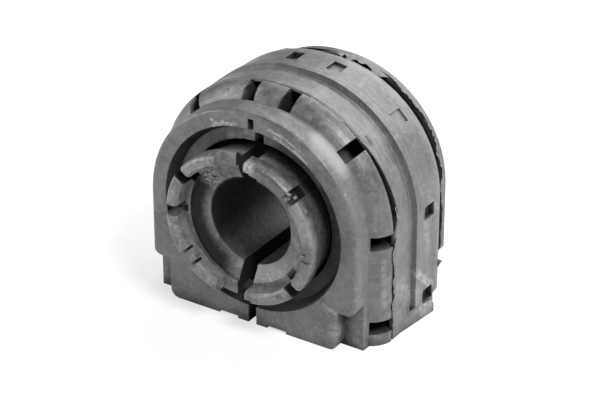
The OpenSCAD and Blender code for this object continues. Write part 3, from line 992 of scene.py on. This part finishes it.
@dataclass(frozen=True)
class Skin:
    """A thin ragged skin that grows from a line round the bush.

    It runs from the first to the last station of its line and starts at its root, measured from the front
    face. A reach below zero goes forwards. Coarse and fine are the numbers of waves of its torn edge.
    """

    name: str
    line: ArchLine
    first: float
    last: float
    root: float
    reach: float
    ragged: float = 0.5
    lift: float = 0.2
    thick: float = 0.3
    seed: int = 1
    coarse: int = 9
    fine: int = 40
    count: int = 160
    around: int = 10
    taper: float = 0.08
    # a shaded skin gets a darker copy of the skin finish: painted shade
    shaded: bool = False

    def build(self) -> bpy.types.Object:
        """Builds the skin.

        Each ring is a flat drop: from the root to the tip the place along the bore is root + reach * s, with
        s = (1 - cos t) / 2, and the height is lift * s + thick / 2 * sin t * (1 - s / 2). The reach of every
        ring is cut back by a smooth random share, and both ends run out to nothing.

        Returns:
            The new object.
        """
        share = np.linspace(0, 1, self.count)
        points, outward = self.line.at(self.first + (self.last - self.first) * share)
        waves = wander(self.count, self.coarse, self.seed)
        torn = 0.6 * waves + 0.4 * wander(self.count, self.fine, self.seed + 50)
        ends = np.clip(np.minimum(share, 1 - share) / self.taper, 0.03, 1)
        reach = self.reach * (1 - self.ragged + self.ragged * torn * 1.3) * ends
        lift = self.lift * (0.4 + 1.2 * wander(self.count, self.coarse + 4, self.seed + 9)) * ends
        turn = np.linspace(0, 2 * np.pi, self.around, endpoint=False)
        s = (1 - np.cos(turn)) / 2
        height = lift[:, None] * s + self.thick / 2 * np.sin(turn) * (1 - s / 2) * ends[:, None]
        rings = points[:, None, :] + outward[:, None, :] * height[..., None]
        rings[..., 1] = self.root + FRONT + reach[:, None] * s
        return tube_object(self.name, rings)


@dataclass(frozen=True)
class Crumb:
    """A small irregular lump."""

    name: str
    place: Point
    size: Point
    seed: int
    rings: int = 9
    around: int = 12
    roughness: float = 0.35
    pole: float = 0.12

    def build(self) -> bpy.types.Object:
        """Builds the lump: a ball whose radius varies by a sum of three waves in its two angles.

        Wave i is a * sin((i + 1) * turn + 6 b) * sin((i + 2) * polar + 6 c), with a, b and c drawn at random.

        Returns:
            The new object.
        """
        waves = np.random.default_rng(self.seed).random((3, 3))
        polar = np.linspace(self.pole, np.pi - self.pole, self.rings)[:, None]
        turn = np.linspace(0, 2 * np.pi, self.around, endpoint=False)[None, :]
        bumps = sum(
            a * np.sin((i + 1) * turn + 6 * b) * np.sin((i + 2) * polar + 6 * c)
            for i, (a, b, c) in enumerate(waves)
        )
        parts = [np.sin(polar) * np.cos(turn), np.sin(polar) * np.sin(turn), np.cos(polar) + 0 * turn]
        ball = np.stack(parts, axis=-1) * (1 + self.roughness * bumps)[..., None]
        return tube_object(self.name, np.array(self.place) + ball * np.array(self.size) / 2)


# The studio


@dataclass(frozen=True)
class Lamp:
    """A square lamp that hangs in one direction from the bush."""

    name: str
    towards: Point
    power: float
    size: float

    def hang(self, aim: Point, distance: float) -> None:
        """Hangs the lamp.

        Args:
            aim: The point that it shines at, mm.
            distance: Its distance from that point, m.
        """
        data = bpy.data.lights.new(self.name, "AREA")
        data.shape, data.size, data.energy = "SQUARE", self.size, self.power
        way = np.array(self.towards) / np.linalg.norm(self.towards)
        side = np.cross((0.0, 0.0, 1.0), way)
        side /= np.linalg.norm(side)
        place_object(self.name, data, (side, np.cross(way, side), way), np.array(aim) * MM + way * distance)


def place_object(name: str, data: Any, axes: Sequence[Any], place: np.ndarray) -> bpy.types.Object:
    """Puts a lamp or a camera into the scene.

    Args:
        name: The object's name.
        data: Its lamp or camera data.
        axes: Its three axes.
        place: Its place, m.

    Returns:
        The new object.
    """
    made = bpy.data.objects.new(name, data)
    stand = np.eye(4)
    stand[:3, :3] = np.column_stack(axes)
    stand[:3, 3] = place
    made.matrix_world = Matrix(stand.tolist())
    bpy.context.scene.collection.objects.link(made)
    return made


@dataclass
class Studio:
    """Plain pale floor, three soft lamps and an even white surround."""

    key: Lamp = Lamp("key_lamp", towards=(0.57, -0.22, 0.77), power=9.0, size=0.3)
    fill: Lamp = Lamp("fill_lamp", towards=(-0.84, -0.48, 0.12), power=7.5, size=0.8)
    back: Lamp = Lamp("back_lamp", towards=(0.1, 0.8, 0.58), power=14.0, size=1.2)
    distance: float = 1.0
    surround: float = 0.12
    floor_half: float = 3000.0
    floor_drop: float = 0.02
    aim: Point = (0.0, 0.0, 30.0)

    def build(self) -> None:
        """Makes the floor, the lamps and the surround."""
        self.build_floor()
        for lamp in (self.key, self.fill, self.back):
            lamp.hang(self.aim, self.distance)
        self.build_surround()
        bpy.context.scene.view_settings.view_transform = "Standard"
        LOG.info("studio: floor, three lamps, surround")

    def build_floor(self) -> None:
        """Makes the floor, just below the base."""
        half, height = self.floor_half, -self.floor_drop
        corners = [[-half, -half, height], [half, -half, height], [half, half, height], [-half, half, height]]
        floor = mesh_object("floor", np.array(corners), [[0, 1, 2, 3]])
        floor.data.materials.append(FloorFinish().material())

    def build_surround(self) -> None:
        """Makes the world: white to camera and transmission rays, dim to all others."""
        world = bpy.data.worlds.new("surround")
        bpy.context.scene.world = world
        world.use_nodes = True
        g = Graph(world.node_tree)
        dim = g.wire("ShaderNodeBackground", 0, None, {"Color": WHITE, "Strength": self.surround})
        white = g.wire("ShaderNodeBackground", 0, None, {"Color": WHITE, "Strength": 1.0})
        mixed = g.wire("ShaderNodeMixShader", 0, None, {0: g.seen(), 1: dim, 2: white})
        g.node("ShaderNodeOutputWorld", None, {0: mixed})


@dataclass
class StudioCamera:
    """The camera at the photograph's place, in the frame of the part."""

    place: Point = (317.77, -490.17, 345.56)
    right: Point = (0.83934, 0.54361, 0.0)
    upward: Point = (-0.26047, 0.40217, 0.87774)
    back: Point = (0.47715, -0.73672, 0.47915)
    lens: float = 150.0
    sensor: float = 36.0
    nearest: float = 0.01
    farthest: float = 20.0

    def build(self) -> None:
        """Makes the camera and gives it to the scene."""
        data = bpy.data.cameras.new("camera")
        data.lens, data.sensor_width = self.lens, self.sensor
        data.clip_start, data.clip_end = self.nearest, self.farthest
        axes = (self.right, self.upward, self.back)
        bpy.context.scene.camera = place_object("camera", data, axes, np.array(self.place) * MM)
        LOG.info("camera: %s mm lens", self.lens)


# The bush


@dataclass
class RubberBody:
    """The moulded rubber body with the skins that the mould has left along its edges."""

    node: bpy.types.Object
    band: ArchLine = ArchLine(33.7, 1.8)
    left_band: ArchLine = ArchLine(33.7, 1.8, side=-1)
    flange: ArchLine = ArchLine(30.85, SPREAD)
    left_flange: ArchLine = ArchLine(30.85, SPREAD, side=-1)
    foot: ArchLine = ArchLine(32.8, 1.8)
    finish: RubberFinish = field(default_factory=RubberFinish)
    skin_finish: FlashFinish = field(default_factory=FlashFinish)
    # painted shade: a darker copy of the skin finish for the rear tooth, which lies in shadow
    shaded_finish: FlashFinish = FlashFinish("shaded_skin", grey(0.02), grey(0.06))

    def skins(self) -> list[Skin]:
        """The skins, front to rear.

        Returns:
            Their sizes and places.
        """
        high, low = self.band.station_of(31.6), self.band.station_of(2.4)
        return [
            Skin("skin_band_low", self.band, first=high, last=low, root=13.8, reach=-2.1, ragged=0.6,
                 lift=0.3, thick=0.45, seed=3, coarse=11, fine=34),
            Skin("skin_band_top", self.band, first=12, last=47, root=13.3, reach=-0.9, ragged=0.6,
                 lift=0.0, seed=8, coarse=8, fine=30),
            Skin("skin_band_left", self.left_band, first=5, last=low, root=13.3, reach=-0.8, ragged=0.6,
                 lift=0.0, seed=14, coarse=16, fine=60),
            Skin("lip_torn_slit", self.band, first=42.4, last=48.4, root=14.9, reach=0.75, ragged=0.3,
                 lift=0.55, thick=0.25, seed=21, coarse=3, fine=8, count=40),
            Skin("skin_strap_corner", self.band, first=76.5, last=84, root=14.6, reach=-0.8, ragged=0.3,
                 lift=0.25, seed=5, coarse=3, fine=9, count=40),
            Skin("skin_flange_right", self.flange, first=20, last=117, root=43.6, reach=-1.75, ragged=0.85,
                 lift=0.3, thick=0.35, seed=31, coarse=15, fine=60, count=260),
            Skin("skin_flange_top", self.flange, first=-2, last=27, root=42.9, reach=-4.6, ragged=0.16,
                 lift=1.5, thick=0.5, seed=44, coarse=9, fine=24),
            Skin("skin_flange_over", self.left_flange, first=0.5, last=96, root=42.9, reach=-4.5, ragged=0.3,
                 lift=1.5, thick=0.5, seed=52, coarse=15, fine=50, count=200, taper=0.35),
            Skin("tooth_rear", self.foot, first=120.5, last=129.0, root=35.6, reach=3.3, ragged=0.15,
                 lift=0.3, thick=1.2, seed=61, coarse=3, fine=6, count=40, taper=0.5, shaded=True),
        ]

    def dress(self) -> None:
        """Gives the body its rubber and adds its skins."""
        paint(self.node, self.finish.material())
        LOG.info("body: dressed")
        torn = self.skin_finish.material()
        dark = self.shaded_finish.material()
        for skin in self.skins():
            add_piece(skin.build(), dark if skin.shaded else torn)


@dataclass
class SleeveHalves:
    """The two hard halves of the inner sleeve."""

    halves: Sequence[bpy.types.Object]
    finish: SleeveFinish = field(default_factory=SleeveFinish)
    crumb_finish: FlashFinish = FlashFinish("pale_crumb", grey(0.1), grey(0.36))

    def crumbs(self) -> list[Crumb]:
        """The torn rubber left in the upper right slot, on the right rim and on the left collar.

        Returns:
            Their places and sizes.
        """
        return [
            Crumb("crumb_slot_a", place=(14.1, -27.9, 44.4), size=(2.2, 1.8, 2.0), seed=3),
            Crumb("crumb_slot_b", place=(15.3, -28.6, 46.0), size=(2.0, 1.0, 0.8), seed=4),
            Crumb("crumb_slot_c", place=(14.2, -27.4, 43.4), size=(0.8, 1.6, 1.8), seed=5),
            Crumb("crumb_slot_d", place=(17.0, -28.0, 45.2), size=(0.9, 1.2, 0.7), seed=6),
            Crumb("crumb_rim_a", place=(19.9, -29.1, 29.6), size=(0.9, 0.7, 0.6), seed=7),
            Crumb("crumb_rim_b", place=(20.8, -28.9, 28.3), size=(1.3, 0.6, 0.5), seed=8),
            Crumb("crumb_collar_a", place=(-10.6, -24.6, 42.6), size=(1.1, 0.7, 0.8), seed=9),
            Crumb("crumb_collar_b", place=(-11.9, -24.8, 41.2), size=(0.8, 0.6, 1.2), seed=10),
            Crumb("crumb_collar_c", place=(-9.4, -24.5, 43.8), size=(0.7, 0.5, 0.6), seed=11),
        ]

    def dress(self) -> None:
        """Gives both halves the same finish and adds the crumbs."""
        made = self.finish.material()
        for half in self.halves:
            paint(half, made)
            LOG.info("%s: dressed", half.name)
        pale = self.crumb_finish.material()
        for crumb in self.crumbs():
            add_piece(crumb.build(), pale)


def paint(piece: bpy.types.Object, material: bpy.types.Material) -> None:
    """Puts one material in all slots of a piece.

    Args:
        piece: A piece that comes from the frame.
        material: Its new material.
    """
    if not piece.material_slots:
        piece.data.materials.append(material)
    for slot in piece.material_slots:
        slot.link = "OBJECT"
        slot.material = material


def add_piece(piece: bpy.types.Object, material: bpy.types.Material) -> None:
    """Finishes a new piece.

    Args:
        piece: The new piece.
        material: Its material.
    """
    piece.data.materials.append(material)
    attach(piece, BODY)
    LOG.info("%s: added", piece.name)


def main() -> None:
    """Builds the studio and dresses the bush, one sub-assembly after another."""
    logging.basicConfig(level=logging.INFO, format="%(name)s: %(message)s")
    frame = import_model()
    StudioCamera().build()
    Studio().build()
    nodes = frame["nodes"]
    RubberBody(nodes[Node.BODY.value]).dress()
    SleeveHalves([nodes[Node.LEFT.value], nodes[Node.RIGHT.value]]).dress()


if __name__ == "__main__":
    main()
